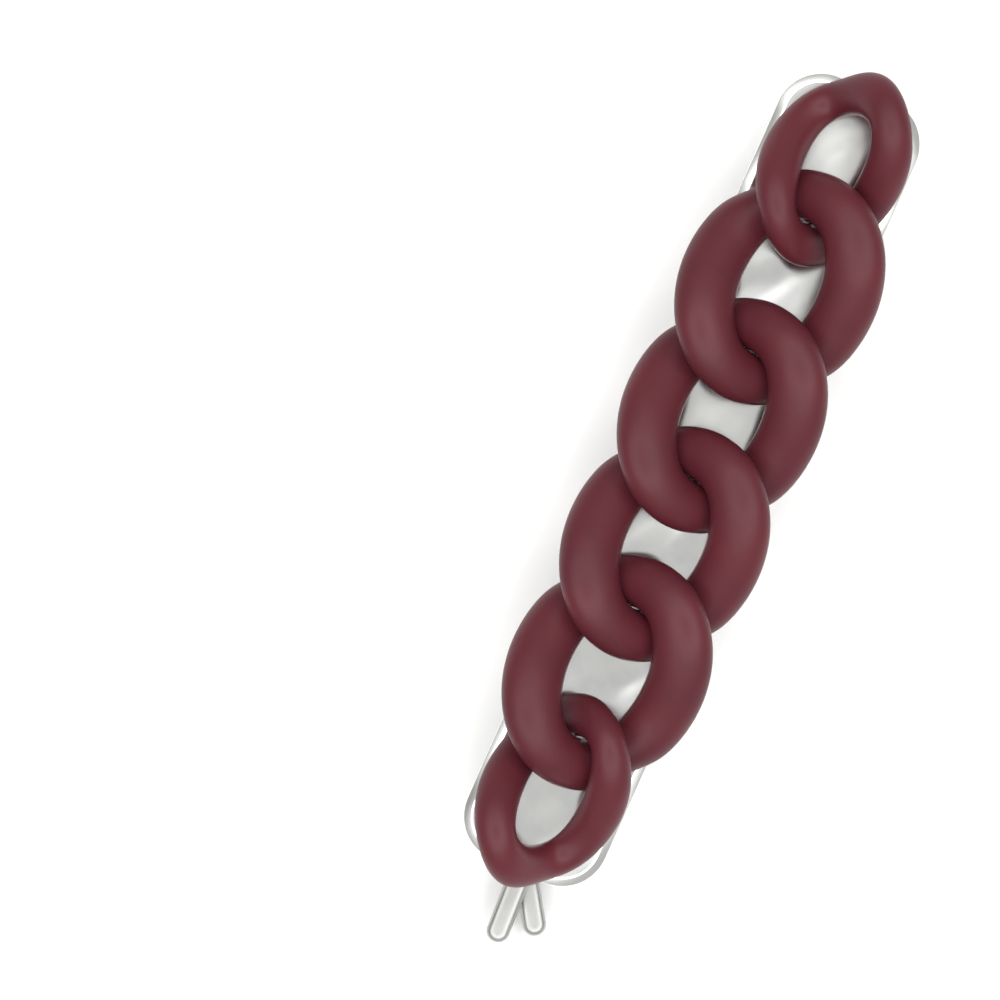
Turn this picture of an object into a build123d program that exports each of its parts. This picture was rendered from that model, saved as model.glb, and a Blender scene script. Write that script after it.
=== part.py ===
from build123d import *
import math
import os

# Hair barrette with six interlocked chain links on a metal bar. Millimetres, +Z up.
# The bar's long way is X, and the clasp's two prongs point to -X.
# The origin is the middle of the flat underside that the closed clasp rests on.

os.makedirs("parts", exist_ok=True)

# the bar that carries the links
PLATE_LENGTH = 102.0
PLATE_WIDTH = 18.0
PLATE_THICKNESS = 1.3
PLATE_CORNER_RADIUS = 5.6
PLATE_RIM_WIDTH = 1.0
PLATE_RIM_DEPTH = 0.45

# the chain
CHAIN_PITCH = 16.68
CAP_GAP = 0.26
LINK_LENGTH = 29.32
LINK_WIDTH = 23.67
LINK_THICKNESS = 4.8
LINK_LIMB_WIDTH = 7.36
LINK_RISE = 2.75
LINK_TILT = 15.0
LINK_LEAN = 0.054
LINK_HOLE_LEAN = 0.074
LINK_POINT = 0.004
LINK_HOLE_POINT = 0.028
LINK_POINT_ANGLE = 11.3

END_LINK_LENGTH = 25.32
END_LINK_WIDTH = 17.32
END_LINK_THICKNESS = 3.75
END_LINK_LIMB_WIDTH = 5.33
END_LINK_HOOKED_CAP = 5.15
END_LINK_FREE_CAP = 6.12
END_LINK_RISE = 3.3
END_LINK_TILT = 0.0
END_LINK_LEAN = 0.06
END_LINK_HOLE_LEAN = 0.167
END_LINK_POINT = 0.048
END_LINK_HOLE_POINT = -0.026
END_LINK_POINT_ANGLE = 10.6

# flats and swellings of an outline: share of its reach (below zero for a flat), angle, sharpness, how many
LINK_SWELLINGS = ((-0.062, 42.9, 11.0, 2),)
LINK_HOLE_SWELLINGS = ((-0.03, 33.0, 11.0, 2),)
END_LINK_SWELLINGS = ((-0.115, 22.2, 9.6, 1), (0.018, -7.5, 9.3, 1))
END_LINK_HOLE_SWELLINGS = ()

# sections are crowded toward the caps, where a link turns fastest
SECTIONS_PER_HALF = 16
CAP_CROWDING = 0.2
ARCS_PER_SECTION = 6

# the closed clasp under the bar
CLASP_WIDTH = 8.0
CLASP_BASE_LENGTH = 84.0
CLASP_BASE_THICKNESS = 0.9
CLASP_CORNER_RADIUS = 1.2
HAIR_GAP = 5.4
ARM_THICKNESS = 1.2
ARM_WIDTH = 7.0
KNUCKLE_LENGTH = 4.0
LOCK_LENGTH = 8.0
LOCK_LAP = 0.8
PRONG_WIDTH = 2.8
PRONG_THICKNESS = 1.7
PRONG_ROUNDING = 0.6
STRAIGHT_PRONG_REACH = 9.0
STRAIGHT_PRONG_ANGLE = 2.6
STRAIGHT_PRONG_ROOT_Y = -0.4
SPLAYED_PRONG_REACH = 6.6
SPLAYED_PRONG_ANGLE = 33.5
SPLAYED_PRONG_ROOT_Y = 1.0

# gaps between neighbouring pieces
GLUE_GAP = 0.05
SEAT_GAP = 0.18


def swelling(swellings, angle):
    """How far the outline swells out at this angle, as a factor of its reach."""
    factor = 1
    for share, middle, sharpness, count in swellings:
        away = count * (angle - math.radians(middle))
        factor += share * math.exp(sharpness * (math.cos(away) - 1))
    return factor


def outline_point(half_length, half_width, point, peak, lean, angle):
    """A point of a closed oval outline; point sharpens its ends and lean slants it."""
    reach = (1 - point) * math.cos(angle) + point * math.cos(3 * (angle - math.radians(peak)))
    y = half_width * math.sin(angle)
    return Vector(half_length * reach - lean * y, y, 0)


def section_centre(shape, angle):
    """Middle of the link's section at this angle, and the way across it."""
    half_length, half_width = shape["length"] / 2, shape["width"] / 2
    outer_swell = swelling(shape["swellings"], angle)
    outer = outline_point(
        half_length * outer_swell, half_width * outer_swell,
        shape["point"], shape["peak"], shape["lean"], angle,
    )
    cap = shape["left_cap"] + (shape["right_cap"] - shape["left_cap"]) * (1 + math.cos(angle)) / 2
    inner_swell = swelling(shape["hole_swellings"], angle)
    inner = outline_point(
        (half_length - cap) * inner_swell, (half_width - shape["limb"]) * inner_swell,
        shape["hole_point"], shape["peak"], shape["hole_lean"], angle,
    )
    rise = Vector(0, 0, -shape["rise"] * math.sin(2 * angle))
    return (outer + inner) * 0.5 + rise, outer - inner


def section_plane(shape, angle):
    """Plane square to the link's run, tilted where the link climbs, and the width there."""
    centre, across = section_centre(shape, angle)
    ahead, _ = section_centre(shape, angle + 0.01)
    behind, _ = section_centre(shape, angle - 0.01)
    run = (ahead - behind).normalized()
    outward = across.normalized()
    upward = outward.cross(run).normalized()
    if upward.Z < 0:
        upward = upward * -1
    tilt = math.radians(-shape["tilt"] * math.sin(2 * angle))
    side = outward * math.cos(tilt) + upward * math.sin(tilt)
    top = upward * math.cos(tilt) - outward * math.sin(tilt)
    return Plane(origin=centre, x_dir=side, z_dir=side.cross(top)), across.length


def oval_point(width, thickness, half_arc):
    """A point on a section's oval, counted in half arcs from its outer edge."""
    around = math.pi * half_arc / ARCS_PER_SECTION
    return width / 2 * math.cos(around), thickness / 2 * math.sin(around)


def loft_half(shape, first):
    """Half of a link, from one cap round a limb to the other cap."""
    with BuildPart() as half:
        for step in range(SECTIONS_PER_HALF + 1):
            even = math.pi * (first + step) / SECTIONS_PER_HALF
            plane, width = section_plane(shape, even - CAP_CROWDING * math.sin(2 * even))
            with BuildSketch(plane):
                with BuildLine():
                    for arc in range(ARCS_PER_SECTION):
                        ThreePointArc(
                            oval_point(width, shape["thickness"], 2 * arc),
                            oval_point(width, shape["thickness"], 2 * arc + 1),
                            oval_point(width, shape["thickness"], 2 * arc + 2),
                        )
                make_face()
        loft()
    return half.part


def make_link(shape, x, turn, label):
    """One closed link of two lofted halves, turned about Z and moved to its place."""
    near_half = loft_half(shape, 0)
    far_half = loft_half(shape, SECTIONS_PER_HALF)
    with BuildPart() as link:
        add(near_half)
        add(far_half)
    placed = link.part.rotate(Axis.Z, turn).moved(Location((x, 0, chain_height)))
    placed.label = label
    export_step(placed, "parts/" + label + ".step")


def make_prong(root_x, root_y, tip_x, angle, bottom):
    """One rounded finger of the clasp, from its root in the lock block out to its tip."""
    run = (root_x - tip_x - PRONG_WIDTH / 2) / math.cos(math.radians(angle))
    with BuildPart() as prong:
        with BuildSketch(Plane.XY.offset(bottom)):
            with Locations(Location((root_x, root_y, 0), angle)):
                with Locations((-run / 2, 0)):
                    SlotCenterToCenter(run, PRONG_WIDTH)
        extrude(amount=PRONG_THICKNESS)
        rims = prong.faces().sort_by(Axis.Z)
        fillet(rims[0].edges() + rims[-1].edges(), radius=PRONG_ROUNDING)
    return prong.part


# the caps of two neighbours fill the length that their links share, but for the gap
large_cap = (LINK_LENGTH - CHAIN_PITCH - CAP_GAP) / 2
large_link = {
    "length": LINK_LENGTH,
    "width": LINK_WIDTH,
    "limb": LINK_LIMB_WIDTH,
    "left_cap": large_cap,
    "right_cap": large_cap,
    "thickness": LINK_THICKNESS,
    "rise": LINK_RISE,
    "tilt": LINK_TILT,
    "lean": LINK_LEAN,
    "hole_lean": LINK_HOLE_LEAN,
    "point": LINK_POINT,
    "hole_point": LINK_HOLE_POINT,
    "peak": LINK_POINT_ANGLE,
    "swellings": LINK_SWELLINGS,
    "hole_swellings": LINK_HOLE_SWELLINGS,
}
end_link = {
    "length": END_LINK_LENGTH,
    "width": END_LINK_WIDTH,
    "limb": END_LINK_LIMB_WIDTH,
    "left_cap": END_LINK_HOOKED_CAP,
    "right_cap": END_LINK_FREE_CAP,
    "thickness": END_LINK_THICKNESS,
    "rise": END_LINK_RISE,
    "tilt": END_LINK_TILT,
    "lean": END_LINK_LEAN,
    "hole_lean": END_LINK_HOLE_LEAN,
    "point": END_LINK_POINT,
    "hole_point": END_LINK_HOLE_POINT,
    "peak": END_LINK_POINT_ANGLE,
    "swellings": END_LINK_SWELLINGS,
    "hole_swellings": END_LINK_HOLE_SWELLINGS,
}

# heights, from the flat underside of the arm upward
hair_gap_bottom = ARM_THICKNESS
base_bottom = hair_gap_bottom + HAIR_GAP
base_top = base_bottom + CLASP_BASE_THICKNESS
plate_bottom = base_top + GLUE_GAP
plate_top = plate_bottom + PLATE_THICKNESS
link_half_height = LINK_RISE + LINK_THICKNESS / 2
chain_height = plate_top + SEAT_GAP + link_half_height

with BuildPart() as backing_plate:
    with BuildSketch(Plane.XY.offset(plate_bottom)):
        RectangleRounded(PLATE_LENGTH, PLATE_WIDTH, PLATE_CORNER_RADIUS)
    extrude(amount=PLATE_THICKNESS)
    rim = backing_plate.faces().sort_by(Axis.Z)[-1]
    chamfer(rim.edges(), length=PLATE_RIM_WIDTH, length2=PLATE_RIM_DEPTH, reference=rim)
backing_plate.part.label = "backing_plate"
export_step(backing_plate.part, "parts/backing_plate.step")

# links 2 to 5 stand one pitch apart, and each end link hangs in its large neighbour
last_large_x = 1.5 * CHAIN_PITCH
large_hole_end = last_large_x + LINK_LENGTH / 2 - large_cap
end_link_x = large_hole_end - CAP_GAP - END_LINK_HOOKED_CAP + END_LINK_LENGTH / 2
make_link(end_link, end_link_x, 0, "link_1")
for place in range(4):
    make_link(large_link, last_large_x - place * CHAIN_PITCH, 0, "link_" + str(place + 2))
make_link(end_link, -end_link_x, 180, "link_6")

# the clasp is closed: base bar, knuckle at +X, arm, lock block and the two prongs
# the lock block laps over the base bar's -X end, and the prongs reach past the plate from it
base_half = CLASP_BASE_LENGTH / 2
knuckle_radius = base_top / 2
lock_left = LOCK_LAP - base_half - LOCK_LENGTH
prong_root_x = lock_left + PRONG_WIDTH / 2
straight_tip_x = -PLATE_LENGTH / 2 - STRAIGHT_PRONG_REACH
splayed_tip_x = -PLATE_LENGTH / 2 - SPLAYED_PRONG_REACH
splayed_bottom = hair_gap_bottom + (HAIR_GAP - 2 * PRONG_THICKNESS) / 2
straight_bottom = splayed_bottom + PRONG_THICKNESS
straight_prong = make_prong(
    prong_root_x, STRAIGHT_PRONG_ROOT_Y, straight_tip_x, STRAIGHT_PRONG_ANGLE, straight_bottom
)
splayed_prong = make_prong(
    prong_root_x, SPLAYED_PRONG_ROOT_Y, splayed_tip_x, SPLAYED_PRONG_ANGLE, splayed_bottom
)

with BuildPart() as clasp:
    with BuildSketch(Plane.XY.offset(base_bottom)):
        RectangleRounded(CLASP_BASE_LENGTH, CLASP_WIDTH, CLASP_CORNER_RADIUS)
    extrude(amount=CLASP_BASE_THICKNESS)
    with BuildSketch(Plane.XY):
        Rectangle(CLASP_BASE_LENGTH - 2 * CLASP_CORNER_RADIUS, ARM_WIDTH)
    extrude(amount=ARM_THICKNESS)
    with BuildSketch(Plane.XY):
        with Locations((lock_left + LOCK_LENGTH / 2, 0)):
            RectangleRounded(LOCK_LENGTH, CLASP_WIDTH, CLASP_CORNER_RADIUS)
    extrude(amount=base_top)
    with BuildSketch(Plane.XZ.offset(-CLASP_WIDTH / 2)):
        with Locations((base_half, base_top / 2)):
            Circle(knuckle_radius)
        with Locations((base_half - KNUCKLE_LENGTH / 2, base_top / 2)):
            Rectangle(KNUCKLE_LENGTH, base_top)
    extrude(amount=CLASP_WIDTH)
    add(straight_prong)
    add(splayed_prong)
clasp.part.label = "clasp"
export_step(clasp.part, "parts/clasp.step")
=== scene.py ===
import math

import bpy
from mathutils import Matrix, Vector


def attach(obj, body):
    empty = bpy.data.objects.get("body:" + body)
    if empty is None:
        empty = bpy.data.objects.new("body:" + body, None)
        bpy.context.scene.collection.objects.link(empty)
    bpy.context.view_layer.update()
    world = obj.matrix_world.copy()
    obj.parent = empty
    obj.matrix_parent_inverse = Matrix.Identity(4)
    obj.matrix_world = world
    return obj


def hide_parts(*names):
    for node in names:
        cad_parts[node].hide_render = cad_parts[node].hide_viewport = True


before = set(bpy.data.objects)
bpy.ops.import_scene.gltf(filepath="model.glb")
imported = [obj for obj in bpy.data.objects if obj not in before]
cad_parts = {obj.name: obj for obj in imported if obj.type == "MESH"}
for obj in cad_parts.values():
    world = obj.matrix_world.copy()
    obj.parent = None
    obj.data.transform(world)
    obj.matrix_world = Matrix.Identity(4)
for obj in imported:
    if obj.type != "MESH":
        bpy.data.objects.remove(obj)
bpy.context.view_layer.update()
mm = 0.001                      # metres
sameSpot = 0.02 * mm            # places nearer to each other than this count as one
levelNormal = 0.9999            # a face's normal points up at least this much when it is level
print("frame loaded:", ", ".join(sorted(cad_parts)))


# leaves edit mode and selects nothing
def backToObjects():
    if bpy.context.object and bpy.context.object.mode != "OBJECT":
        bpy.ops.object.mode_set(mode="OBJECT")
    bpy.ops.object.select_all(action="DESELECT")


# makes one piece the only selected and the active one
def workOn(piece):
    backToObjects()
    piece.select_set(True)
    bpy.context.view_layer.objects.active = piece


# in edit mode, leaves only the faces selected that the test says yes to
def pickFaces(piece, test):
    bpy.ops.mesh.select_mode(type="FACE")
    bpy.ops.mesh.select_all(action="DESELECT")
    bpy.ops.object.mode_set(mode="OBJECT")
    for face in piece.data.polygons:
        face.select = test(face)
    bpy.ops.object.mode_set(mode="EDIT")


# the same for edges; the test gets the places of both ends
def pickEdges(piece, test):
    bpy.ops.mesh.select_mode(type="EDGE")
    bpy.ops.mesh.select_all(action="DESELECT")
    bpy.ops.object.mode_set(mode="OBJECT")
    spots = [vertex.co.copy() for vertex in piece.data.vertices]
    for edge in piece.data.edges:
        edge.select = test(spots[edge.vertices[0]], spots[edge.vertices[1]])
    bpy.ops.object.mode_set(mode="EDIT")


def near(a, b):
    return abs(a - b) < sameSpot


def isUpright(a, b):
    return near(a.x, b.x) and near(a.y, b.y)


def isLevelTop(face):
    return face.normal.z > levelNormal


# a box from its low corner to its high corner, in millimetres
def addBox(name, low, high):
    backToObjects()
    low, high = Vector(low) * mm, Vector(high) * mm
    bpy.ops.mesh.primitive_cube_add(size=1, location=(low + high) / 2, scale=high - low)
    box = bpy.context.object
    box.name = name
    bpy.ops.object.transform_apply(location=True, rotation=True, scale=True)
    return box


def applyAll(piece):
    workOn(piece)
    for modifier in list(piece.modifiers):
        bpy.ops.object.modifier_apply(modifier=modifier.name)


# joins the parts into the base as one closed shape
def joinInto(base, parts):
    for part in parts:
        joint = base.modifiers.new("join", "BOOLEAN")
        joint.operation = "UNION"
        joint.solver = "EXACT"
        joint.object = part
    applyAll(base)
    for part in parts:
        bpy.data.objects.remove(part)


# gives a finished piece its material, hangs it under the root and hides the CAD node it stands for
def dress(piece, material, node):
    piece.data.materials.clear()
    piece.data.materials.append(material)
    piece.data.name = piece.name
    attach(piece, "root")
    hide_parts(node)


# an sRGB hex colour as the linear one that the nodes want
def linearColour(hexCode):
    shares = [int(hexCode[i:i + 2], 16) / 255 for i in (1, 3, 5)]
    return [p / 12.92 if p <= 0.04045 else ((p + 0.055) / 1.055) ** 2.4 for p in shares] + [1.0]


# one node with its settings; an input is given as a value or as the socket that feeds it
def addNode(tree, kind, settings=None, inputs=None):
    node = tree.nodes.new(kind)
    for name, value in (settings or {}).items():
        setattr(node, name, value)
    for name, value in (inputs or {}).items():
        if isinstance(value, bpy.types.NodeSocket):
            tree.links.new(value, node.inputs[name])
        else:
            node.inputs[name].default_value = value
    return node


def newMaterial(name):
    material = bpy.data.materials.new(name)
    material.use_nodes = True
    material.node_tree.nodes.clear()
    return material, material.node_tree


# the camera looks straight down, as in the photograph
view = {
    "distance": 1.0,            # metres above the plate's top
    "seenWidth": 119.05 * mm,   # what the picture's width takes in at the plate's top
    "plateTop": 8.85 * mm,
    "aimX": -11.488 * mm,
    "aimY": 19.899 * mm,
    "turn": -65.95,             # degrees, how far the barrette slants in the picture
    "sensor": 36,               # mm
    "nearest": 0.05,            # metres, nothing is seen before or beyond these
    "farthest": 20,
}

cameraData = bpy.data.cameras.new("camera")
cameraData.sensor_width = view["sensor"]
cameraData.lens = view["sensor"] * view["distance"] / view["seenWidth"]
cameraData.clip_start = view["nearest"]
cameraData.clip_end = view["farthest"]
camera = bpy.data.objects.new("camera", cameraData)
bpy.context.scene.collection.objects.link(camera)
camera.location = (view["aimX"], view["aimY"], view["plateTop"] + view["distance"])
camera.rotation_euler = (0, 0, math.radians(view["turn"]))
bpy.context.scene.camera = camera
bpy.context.scene.view_settings.view_transform = "Standard"
print("camera placed")


# Cast resin under a matt soft-touch lacquer: a broad weak highlight on every crest, a faint pale
# line where it is seen edge-on, no mirror shine.
def makeSoftTouchResin():
    look = {
        "base": "#551F27",
        "deep": "#511D25",
        "worn": "#592129",
        "tintStops": (0.36, 0.5, 0.66),     # where deep, base and worn lie in the cloudy pattern
        "roughness": (0.4, 0.46),
        "glossRange": (0.35, 0.65),         # the part of the pattern over which the gloss changes
        "ior": 1.355,
        "mottle": 9.0,          # mm, size of the cloudy patches in the lacquer
        "waviness": 5.0,        # mm, soft dents that hand polishing leaves
        "dentDepth": 0.25,      # mm
        "dentStrength": 0.5,
        "grain": 0.35,          # mm, lacquer grain, drawn coarser than the real 0.1 mm to show
        "grainDepth": 0.03,     # mm
        "grainStrength": 0.12,
    }
    material, tree = newMaterial("softTouchResin")
    place = addNode(tree, "ShaderNodeTexCoord").outputs["Object"]
    cloud = addNode(tree, "ShaderNodeTexNoise", None, {
        "Vector": place, "Scale": 1 / (look["mottle"] * mm), "Detail": 2.0, "Roughness": 0.5})
    tint = addNode(tree, "ShaderNodeValToRGB", None, {"Fac": cloud.outputs["Fac"]})
    tint.color_ramp.elements[0].position = look["tintStops"][0]
    tint.color_ramp.elements[0].color = linearColour(look["deep"])
    tint.color_ramp.elements[1].position = look["tintStops"][2]
    tint.color_ramp.elements[1].color = linearColour(look["worn"])
    tint.color_ramp.elements.new(look["tintStops"][1]).color = linearColour(look["base"])
    gloss = addNode(tree, "ShaderNodeMapRange", None, {
        "Value": cloud.outputs["Fac"],
        "From Min": look["glossRange"][0], "From Max": look["glossRange"][1],
        "To Min": look["roughness"][1], "To Max": look["roughness"][0]})
    dents = addNode(tree, "ShaderNodeTexNoise", None, {
        "Vector": place, "Scale": 1 / (look["waviness"] * mm), "Detail": 1.0, "Roughness": 0.4})
    grain = addNode(tree, "ShaderNodeTexNoise", None, {
        "Vector": place, "Scale": 1 / (look["grain"] * mm), "Detail": 2.0, "Roughness": 0.6})
    dented = addNode(tree, "ShaderNodeBump", None, {
        "Height": dents.outputs["Fac"], "Strength": look["dentStrength"],
        "Distance": look["dentDepth"] * mm})
    grained = addNode(tree, "ShaderNodeBump", None, {
        "Height": grain.outputs["Fac"], "Strength": look["grainStrength"],
        "Distance": look["grainDepth"] * mm, "Normal": dented.outputs["Normal"]})
    shader = addNode(tree, "ShaderNodeBsdfPrincipled", None, {
        "Base Color": tint.outputs["Color"], "Roughness": gloss.outputs["Result"],
        "IOR": look["ior"], "Normal": grained.outputs["Normal"]})
    addNode(tree, "ShaderNodeOutputMaterial", None, {"Surface": shader.outputs["BSDF"]})
    return material


# Sheet steel, stamped, polished and nickel plated: a pale metal, nearly a mirror. Its slow waves and
# half-dull patches turn the room's reflection into soft grey and white streaks.
def makePolishedNickel():
    look = {
        "bright": "#F1F1EE",
        "dull": "#EAEBE8",
        "tintStops": (0.3, 0.6),            # where dull and bright lie in the haze
        "roughness": (0.09, 0.22),
        "glossRange": (0.4, 0.6),           # the part of the waves over which the gloss changes
        "wave": (17.0, 8.0, 17.0),          # mm, along and across the soft streaks
        "waveSlant": -32.0,                 # degrees from the plate's long way
        "waveShift": (18.9, 14.4, 211.4),   # mm, where the streaks fall
        "waveHeight": 1.0,                  # mm
        "haze": 2.5,                        # mm, faint unevenness of the plating
    }
    material, tree = newMaterial("polishedNickelPlate")
    place = addNode(tree, "ShaderNodeTexCoord").outputs["Object"]
    slanted = addNode(tree, "ShaderNodeMapping", {"vector_type": "TEXTURE"}, {
        "Vector": place, "Rotation": (0, 0, math.radians(look["waveSlant"])),
        "Location": [shift * mm for shift in look["waveShift"]],
        "Scale": [size * mm for size in look["wave"]]})
    waves = addNode(tree, "ShaderNodeTexNoise", None, {
        "Vector": slanted.outputs["Vector"], "Scale": 1.0, "Detail": 1.0, "Roughness": 0.35})
    haze = addNode(tree, "ShaderNodeTexNoise", None, {
        "Vector": place, "Scale": 1 / (look["haze"] * mm), "Detail": 2.0, "Roughness": 0.5})
    tint = addNode(tree, "ShaderNodeValToRGB", None, {"Fac": haze.outputs["Fac"]})
    tint.color_ramp.elements[0].position = look["tintStops"][0]
    tint.color_ramp.elements[0].color = linearColour(look["dull"])
    tint.color_ramp.elements[1].position = look["tintStops"][1]
    tint.color_ramp.elements[1].color = linearColour(look["bright"])
    gloss = addNode(tree, "ShaderNodeMapRange", {"interpolation_type": "SMOOTHSTEP"}, {
        "Value": waves.outputs["Fac"],
        "From Min": look["glossRange"][0], "From Max": look["glossRange"][1],
        "To Min": look["roughness"][0], "To Max": look["roughness"][1]})
    waved = addNode(tree, "ShaderNodeBump", None, {
        "Height": waves.outputs["Fac"], "Strength": 1.0, "Distance": look["waveHeight"] * mm})
    shader = addNode(tree, "ShaderNodeBsdfPrincipled", None, {
        "Base Color": tint.outputs["Color"], "Metallic": 1.0, "Roughness": gloss.outputs["Result"],
        "Normal": waved.outputs["Normal"]})
    addNode(tree, "ShaderNodeOutputMaterial", None, {"Surface": shader.outputs["BSDF"]})
    return material


# Spring steel, stamped and tumbled, with a thin nickel flash: satin, faintly lined along the strip.
def makeSatinSpringSteel():
    look = {
        "bright": "#AEAEAB",
        "dull": "#A4A5A3",
        "tintStops": (0.38, 0.62),      # where dull and bright lie in the cloudy pattern
        "roughness": (0.38, 0.43),
        "glossRange": (0.35, 0.65),     # the part of the pattern over which the gloss changes
        "strip": 0.4,           # mm between rolling lines, drawn coarser than the real 0.1 mm
        "stripLength": 9,       # mm
        "lineDepth": 0.02,      # mm
        "lineStrength": 0.04,
        "cloud": 6.0,           # mm, patches that tumbling leaves
    }
    material, tree = newMaterial("satinSpringSteel")
    place = addNode(tree, "ShaderNodeTexCoord").outputs["Object"]
    lined = addNode(tree, "ShaderNodeMapping", {"vector_type": "TEXTURE"}, {
        "Vector": place,
        "Scale": (look["stripLength"] * mm, look["strip"] * mm, look["strip"] * mm)})
    lines = addNode(tree, "ShaderNodeTexNoise", None, {
        "Vector": lined.outputs["Vector"], "Scale": 1.0, "Detail": 2.0, "Roughness": 0.6})
    cloud = addNode(tree, "ShaderNodeTexNoise", None, {
        "Vector": place, "Scale": 1 / (look["cloud"] * mm), "Detail": 2.0, "Roughness": 0.5})
    tint = addNode(tree, "ShaderNodeValToRGB", None, {"Fac": cloud.outputs["Fac"]})
    tint.color_ramp.elements[0].position = look["tintStops"][0]
    tint.color_ramp.elements[0].color = linearColour(look["dull"])
    tint.color_ramp.elements[1].position = look["tintStops"][1]
    tint.color_ramp.elements[1].color = linearColour(look["bright"])
    gloss = addNode(tree, "ShaderNodeMapRange", None, {
        "Value": cloud.outputs["Fac"],
        "From Min": look["glossRange"][0], "From Max": look["glossRange"][1],
        "To Min": look["roughness"][0], "To Max": look["roughness"][1]})
    brushed = addNode(tree, "ShaderNodeBump", None, {
        "Height": lines.outputs["Fac"], "Strength": look["lineStrength"],
        "Distance": look["lineDepth"] * mm})
    shader = addNode(tree, "ShaderNodeBsdfPrincipled", None, {
        "Base Color": tint.outputs["Color"], "Metallic": 1.0, "Roughness": gloss.outputs["Result"],
        "Normal": brushed.outputs["Normal"]})
    addNode(tree, "ShaderNodeOutputMaterial", None, {"Surface": shader.outputs["BSDF"]})
    return material


softTouchResin = makeSoftTouchResin()
polishedNickel = makePolishedNickel()
satinSpringSteel = makeSatinSpringSteel()
print("finishes mixed")


# the plate that carries the links, in millimetres and degrees
plateSizes = {
    "length": 102.0, "width": 18.0, "bottom": 7.55, "thickness": 1.3,
    "cornerRadius": 5.6, "cornerSteps": 20,
    "rimWidth": 1.0, "rimDepth": 0.45, "rimSoftness": 0.15, "rimSteps": 6,
    "flatBorder": 0.05,
    "underSoftness": 0.15, "underSteps": 2,
    "smoothAngle": 30,
}


def buildPlate(sizes):
    halfLength, halfWidth = sizes["length"] / 2, sizes["width"] / 2
    sideTop = sizes["bottom"] + sizes["thickness"] - sizes["rimDepth"]
    plate = addBox("backingPlate", (-halfLength, -halfWidth, sizes["bottom"]),
                   (halfLength, halfWidth, sideTop))
    bpy.ops.object.mode_set(mode="EDIT")
    pickEdges(plate, isUpright)   # the four corners
    bpy.ops.mesh.bevel(offset=sizes["cornerRadius"] * mm, segments=sizes["cornerSteps"],
                       affect="EDGES", clamp_overlap=False)
    # the rim slopes up to the flat top
    pickFaces(plate, isLevelTop)
    bpy.ops.mesh.inset(thickness=sizes["rimWidth"] * mm, depth=sizes["rimDepth"] * mm)
    top = (sizes["bottom"] + sizes["thickness"]) * mm
    pickEdges(plate, lambda a, b: near(a.z, b.z) and (near(a.z, top) or near(a.z, sideTop * mm)))
    bpy.ops.mesh.bevel(offset=sizes["rimSoftness"] * mm, segments=sizes["rimSteps"], affect="EDGES")
    # a thin border keeps the rim's soft shading off the flat top
    pickFaces(plate, isLevelTop)
    bpy.ops.mesh.inset(thickness=sizes["flatBorder"] * mm)
    pickEdges(plate, lambda a, b: near(a.z, b.z) and near(a.z, sizes["bottom"] * mm))
    bpy.ops.mesh.bevel(offset=sizes["underSoftness"] * mm, segments=sizes["underSteps"],
                       affect="EDGES")
    bpy.ops.mesh.select_all(action="SELECT")
    bpy.ops.mesh.normals_make_consistent(inside=False)
    bpy.ops.object.mode_set(mode="OBJECT")
    bpy.ops.object.shade_smooth_by_angle(angle=math.radians(sizes["smoothAngle"]))
    return plate


plate = buildPlate(plateSizes)
dress(plate, polishedNickel, "backing_plate")
print("plate done:", len(plate.data.polygons), "faces")


# the chain of six links, in millimetres and degrees: four large ones and a smaller one at each end
largeLinkSizes = {
    "length": 29.32, "width": 23.67, "thickness": 4.8, "limbWidth": 7.36,
    "leftCap": 6.19, "rightCap": 6.19, "rise": 2.75, "tilt": 15.0,
    "lean": 0.054, "holeLean": 0.074, "point": 0.004, "holePoint": 0.028, "pointAngle": 11.3,
    # share of the reach, angle, sharpness and how many round the link; a share below 0 is a flat
    "swellings": ((-0.062, 42.9, 11.0, 2),), "holeSwellings": ((-0.03, 33.0, 11.0, 2),),
}
endLinkSizes = {
    "length": 25.32, "width": 17.32, "thickness": 3.75, "limbWidth": 5.33,
    "leftCap": 5.15, "rightCap": 6.12, "rise": 3.3, "tilt": 0.0,
    "lean": 0.06, "holeLean": 0.167, "point": 0.048, "holePoint": -0.026, "pointAngle": 10.6,
    "swellings": ((-0.115, 22.2, 9.6, 1), (0.018, -7.5, 9.3, 1)), "holeSwellings": (),
}
chainSizes = {
    "height": 14.18,        # of the chain's middle above the floor
    "largeLinks": 4,
    "pitch": 16.68,
    "capGap": 0.26,
    "stations": 48,         # sections round one link
    "corners": 12,          # round one section
    "smoothing": 3,         # times each face is divided
    "nudge": 0.01,          # radians to either side, to find which way the limb runs
}


# how far an outline swells out at this angle, as a factor of its reach
def swelling(swellings, angle):
    factor = 1
    for share, middle, sharpness, count in swellings:
        nearness = math.cos(count * (angle - math.radians(middle)))
        factor += share * math.exp(sharpness * (nearness - 1))
    return factor


# middle of the link's section at this angle, and the way across it, in millimetres
def sectionAcross(sizes, angle):
    peak = math.radians(sizes["pointAngle"])
    halfLength, halfWidth = sizes["length"] / 2, sizes["width"] / 2
    cap = sizes["leftCap"] + (sizes["rightCap"] - sizes["leftCap"]) * (1 + math.cos(angle)) / 2
    rims = []
    for reachX, reachY, point, lean, swellings in (
        (halfLength, halfWidth, sizes["point"], sizes["lean"], sizes["swellings"]),
        (halfLength - cap, halfWidth - sizes["limbWidth"], sizes["holePoint"], sizes["holeLean"],
         sizes["holeSwellings"]),
    ):
        swell = swelling(swellings, angle)
        along = (1 - point) * math.cos(angle) + point * math.cos(3 * (angle - peak))
        y = reachY * swell * math.sin(angle)
        rims.append(Vector((reachX * swell * along - lean * y, y, 0)))
    rise = Vector((0, 0, -sizes["rise"] * math.sin(2 * angle)))
    return (rims[0] + rims[1]) / 2 + rise, rims[0] - rims[1]


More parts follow.
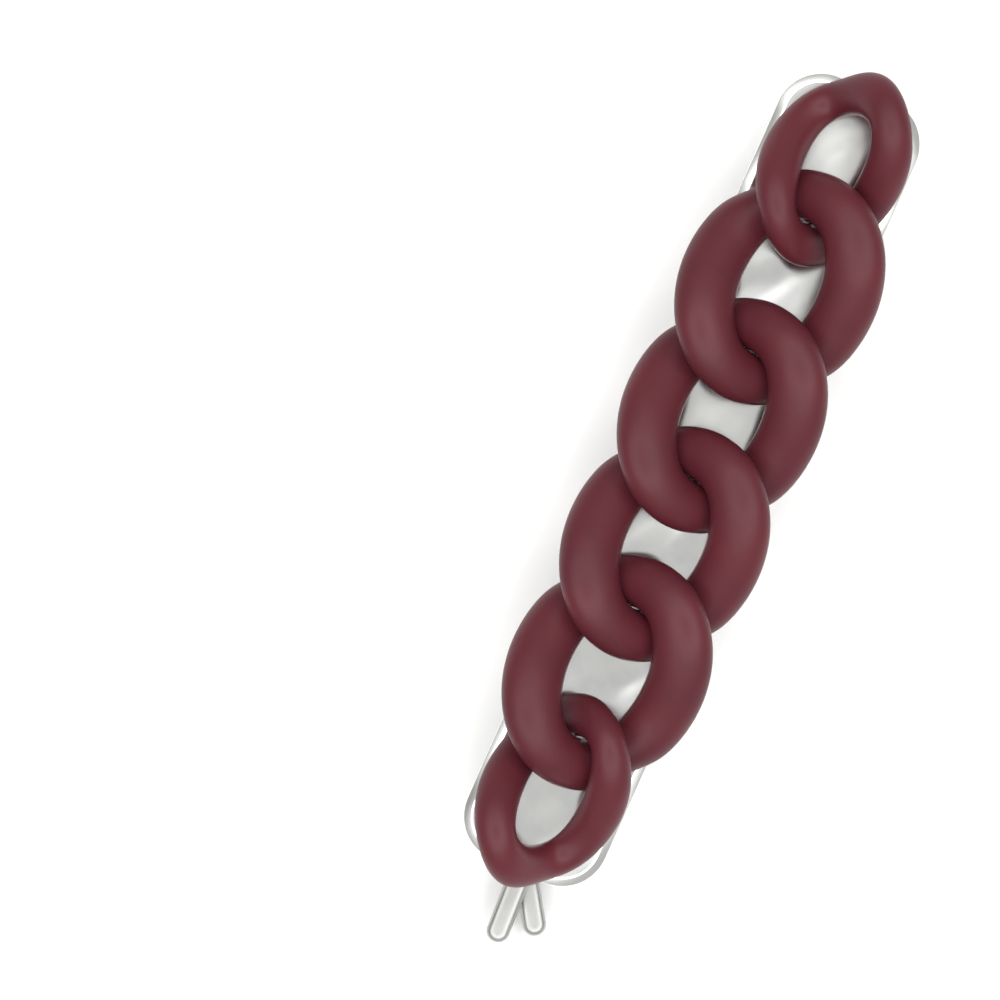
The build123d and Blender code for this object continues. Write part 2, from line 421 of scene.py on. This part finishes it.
# one link: an oval set at every station, all joined, bridged into a closed ring and smoothed
def buildLink(name, sizes):
    count = chainSizes["stations"]
    step = math.tau / count
    # smoothing draws a section in, so it starts larger by this factor
    fullness = 3 / (2 + math.cos(math.tau / chainSizes["corners"]))
    ovals = []
    for station in range(count):
        angle = station * step
        centre, across = sectionAcross(sizes, angle)
        ahead, _ = sectionAcross(sizes, angle + step)
        behind, _ = sectionAcross(sizes, angle - step)
        further, _ = sectionAcross(sizes, angle + chainSizes["nudge"])
        nearer, _ = sectionAcross(sizes, angle - chainSizes["nudge"])
        run = (further - nearer).normalized()
        outward = across.normalized()
        upward = outward.cross(run).normalized()
        if upward.z < 0:
            upward = -upward
        tilt = math.radians(-sizes["tilt"] * math.sin(2 * angle))
        side = outward * math.cos(tilt) + upward * math.sin(tilt)
        top = upward * math.cos(tilt) - outward * math.sin(tilt)
        # smoothing also pulls a section towards its neighbours, so it is set out by as much
        centre = centre * 2 - (behind + centre * 4 + ahead) / 6
        turn = Matrix((side, top, side.cross(top))).transposed().to_euler()
        backToObjects()
        bpy.ops.mesh.primitive_circle_add(
            vertices=chainSizes["corners"], radius=fullness / 2 * mm,
            location=centre * mm, rotation=turn)
        oval = bpy.context.object
        oval.scale = (across.length, sizes["thickness"], 1)
        bpy.ops.object.transform_apply(location=True, rotation=True, scale=True)
        ovals.append(oval)
    for oval in ovals:
        oval.select_set(True)
    bpy.context.view_layer.objects.active = ovals[0]
    bpy.ops.object.join()
    link = bpy.context.object
    link.name = name
    bpy.ops.object.mode_set(mode="EDIT")
    bpy.ops.mesh.select_all(action="SELECT")
    bpy.ops.mesh.bridge_edge_loops(type="CLOSED")
    bpy.ops.mesh.select_all(action="SELECT")
    bpy.ops.mesh.normals_make_consistent(inside=False)
    bpy.ops.object.mode_set(mode="OBJECT")
    smoothing = link.modifiers.new("smoothing", "SUBSURF")
    smoothing.levels = smoothing.render_levels = chainSizes["smoothing"]
    applyAll(link)
    bpy.ops.object.shade_smooth()
    return link


# a copy with its own mesh, turned about Z and set at its place along the chain
def placeLink(model, name, x, turned):
    workOn(model)
    bpy.ops.object.duplicate()
    link = bpy.context.object
    link.name = name
    link.rotation_euler = (0, 0, math.pi if turned else 0)
    link.location = (x * mm, 0, chainSizes["height"] * mm)
    bpy.ops.object.transform_apply(location=True, rotation=True, scale=True)
    return link


largeModel = buildLink("largeLinkModel", largeLinkSizes)
endModel = buildLink("endLinkModel", endLinkSizes)
lastLargeX = (chainSizes["largeLinks"] - 1) / 2 * chainSizes["pitch"]
holeEnd = lastLargeX + largeLinkSizes["length"] / 2 - largeLinkSizes["rightCap"]
endX = holeEnd - chainSizes["capGap"] - endLinkSizes["leftCap"] + endLinkSizes["length"] / 2
links = [placeLink(endModel, "link1", endX, False)]
for place in range(chainSizes["largeLinks"]):
    x = lastLargeX - place * chainSizes["pitch"]
    links.append(placeLink(largeModel, "link" + str(place + 2), x, False))
links.append(placeLink(endModel, "link6", -endX, True))
bpy.data.objects.remove(largeModel)
bpy.data.objects.remove(endModel)
for number, link in enumerate(links):
    dress(link, softTouchResin, "link_" + str(number + 1))
print("links done:", sum(len(link.data.polygons) for link in links), "faces")


# the closed clasp under the plate, in millimetres and degrees: a base and an arm that meet in a
# knuckle at one end and a lock block at the other, from which the two prongs stand out
claspSizes = {
    "width": 8.0, "baseHalf": 42.0, "baseBottom": 6.6, "baseTop": 7.5,
    "armHalf": 40.8, "armWidth": 7.0, "armThickness": 1.2,
    "knuckleLength": 4.0, "knuckleRadius": 3.75, "knuckleSides": 64,
    "lockLeft": -49.2, "lockLength": 8.0, "cornerRadius": 1.2, "cornerSteps": 8,
    "edgeSoftness": 0.2, "edgeSteps": 3, "edgeAngle": 40,
    "smoothAngle": 35,
}
prongSizes = {
    "width": 2.8, "thickness": 1.7,
    "noseGap": 0.01,        # the two corners of the nose stop this short of its middle
    "noseSteps": 16,
    "crown": 1.35, "crownFullness": 0.68,           # rounding of the upper edges
    "underRounding": 0.3, "underFullness": 0.5,     # and of the lower ones
    "roundingSteps": 12,
}
straightProngPlace = {"rootX": -47.8, "rootY": -0.4, "tipX": -60.0, "angle": 2.6, "bottom": 3.9}
splayedProngPlace = {"rootX": -47.8, "rootY": 1.0, "tipX": -57.6, "angle": 33.5, "bottom": 2.2}


# a round-nosed finger of flat bar, with a full crown on top
def buildProng(name, sizes, place):
    half = sizes["width"] / 2
    run = (place["rootX"] - place["tipX"] - half) / math.cos(math.radians(place["angle"]))
    top = place["bottom"] + sizes["thickness"]
    prong = addBox(name, (-run - half, -half, place["bottom"]), (0, half, top))
    bpy.ops.object.mode_set(mode="EDIT")
    tip = (-run - half) * mm
    pickEdges(prong, lambda a, b: near(a.x, tip) and near(b.x, tip) and near(a.y, b.y))
    bpy.ops.mesh.bevel(offset=(half - sizes["noseGap"]) * mm, segments=sizes["noseSteps"],
                       affect="EDGES", clamp_overlap=False)
    for level, rounding, fullness in (
        (top, sizes["crown"], sizes["crownFullness"]),
        (place["bottom"], sizes["underRounding"], sizes["underFullness"]),
    ):
        # the edges at this level, but not the one across the root
        pickEdges(prong, lambda a, b: near(a.z, level * mm) and near(b.z, level * mm)
                  and not (near(a.x, 0) and near(b.x, 0)))
        bpy.ops.mesh.bevel(offset=rounding * mm, segments=sizes["roundingSteps"], profile=fullness,
                           affect="EDGES", clamp_overlap=False)
    bpy.ops.mesh.select_all(action="SELECT")
    bpy.ops.mesh.normals_make_consistent(inside=False)
    bpy.ops.object.mode_set(mode="OBJECT")
    prong.location = (place["rootX"] * mm, place["rootY"] * mm, 0)
    prong.rotation_euler = (0, 0, math.radians(place["angle"]))
    workOn(prong)
    bpy.ops.object.transform_apply(location=True, rotation=True, scale=True)
    return prong


def buildClasp(sizes):
    half, armSide = sizes["width"] / 2, sizes["armWidth"] / 2
    baseHalf, armHalf, top = sizes["baseHalf"], sizes["armHalf"], sizes["baseTop"]
    base = addBox("clasp", (-baseHalf, -half, sizes["baseBottom"]), (baseHalf, half, top))
    arm = addBox("arm", (-armHalf, -armSide, 0), (armHalf, armSide, sizes["armThickness"]))
    lockRight = sizes["lockLeft"] + sizes["lockLength"]
    lock = addBox("lock", (sizes["lockLeft"], -half, 0), (lockRight, half, top))
    bpy.ops.object.mode_set(mode="EDIT")
    pickEdges(lock, isUpright)
    bpy.ops.mesh.bevel(offset=sizes["cornerRadius"] * mm, segments=sizes["cornerSteps"],
                       affect="EDGES")
    # base and arm meet in a round knuckle with a square stub behind it
    stub = addBox("stub", (baseHalf - sizes["knuckleLength"], -half, 0), (baseHalf, half, top))
    backToObjects()
    bpy.ops.mesh.primitive_cylinder_add(
        vertices=sizes["knuckleSides"], radius=sizes["knuckleRadius"] * mm,
        depth=sizes["width"] * mm, rotation=(math.pi / 2, 0, 0),
        location=(baseHalf * mm, 0, sizes["knuckleRadius"] * mm))
    knuckle = bpy.context.object
    bpy.ops.object.transform_apply(location=True, rotation=True, scale=True)
    joinInto(base, [arm, lock, stub, knuckle])
    softened = base.modifiers.new("soft edges", "BEVEL")
    softened.width = sizes["edgeSoftness"] * mm
    softened.segments = sizes["edgeSteps"]
    softened.limit_method = "ANGLE"
    softened.angle_limit = math.radians(sizes["edgeAngle"])
    applyAll(base)
    joinInto(base, [buildProng("straightProng", prongSizes, straightProngPlace),
                    buildProng("splayedProng", prongSizes, splayedProngPlace)])
    workOn(base)
    bpy.ops.object.shade_smooth_by_angle(angle=math.radians(sizes["smoothAngle"]))
    return base


clasp = buildClasp(claspSizes)
dress(clasp, satinSpringSteel, "clasp")
print("clasp done:", len(clasp.data.polygons), "faces")


# pale floor and soft studio light
studio = {
    "floor": "#FDFDFC",
    "floorSize": 6.0,       # metres
    "floorRoughness": 0.9,
    "floorShine": 0.1,
    # brightness of the room against how far up one looks, from 0 level to 1 straight up
    "room": ((0.0, 0.36), (0.56, 0.46), (0.68, 0.9), (0.82, 3.3), (0.945, 3.3), (0.985, 0.6)),
    "brightSide": (-0.36, -0.93, 0.0),   # the window side, towards the picture's lower right
    "sideShare": 0.24,
}

backToObjects()
bpy.ops.mesh.primitive_plane_add(size=studio["floorSize"], location=(0, 0, 0))
floor = bpy.context.object
floor.name = "floor"
paper, tree = newMaterial("paleCard")
shader = addNode(tree, "ShaderNodeBsdfPrincipled", None, {
    "Base Color": linearColour(studio["floor"]), "Roughness": studio["floorRoughness"],
    "Specular IOR Level": studio["floorShine"]})
addNode(tree, "ShaderNodeOutputMaterial", None, {"Surface": shader.outputs["BSDF"]})
floor.data.materials.append(paper)

world = bpy.data.worlds.new("softboxRoom")
bpy.context.scene.world = world
world.use_nodes = True
tree = world.node_tree
tree.nodes.clear()
direction = addNode(tree, "ShaderNodeTexCoord").outputs["Generated"]
height = addNode(tree, "ShaderNodeSeparateXYZ", None, {"Vector": direction}).outputs["Z"]
sky = addNode(tree, "ShaderNodeValToRGB", None, {"Fac": height})
sky.color_ramp.interpolation = "EASE"
sky.color_ramp.elements.remove(sky.color_ramp.elements[0])   # its own two stops give way
for up, brightness in studio["room"]:
    stop = sky.color_ramp.elements.new(up)
    stop.color = (brightness, brightness, brightness, 1)
sky.color_ramp.elements.remove(sky.color_ramp.elements[-1])
facing = addNode(tree, "ShaderNodeVectorMath", {"operation": "DOT_PRODUCT"}, {
    0: direction, 1: studio["brightSide"]})
stronger = addNode(tree, "ShaderNodeMath", {"operation": "MULTIPLY_ADD"}, {
    0: facing.outputs["Value"], 1: studio["sideShare"], 2: 1.0})
glow = addNode(tree, "ShaderNodeBackground", None, {
    "Color": sky.outputs["Color"], "Strength": stronger.outputs["Value"]})
addNode(tree, "ShaderNodeOutputWorld", None, {"Surface": glow.outputs["Background"]})
print("studio lit")

backToObjects()
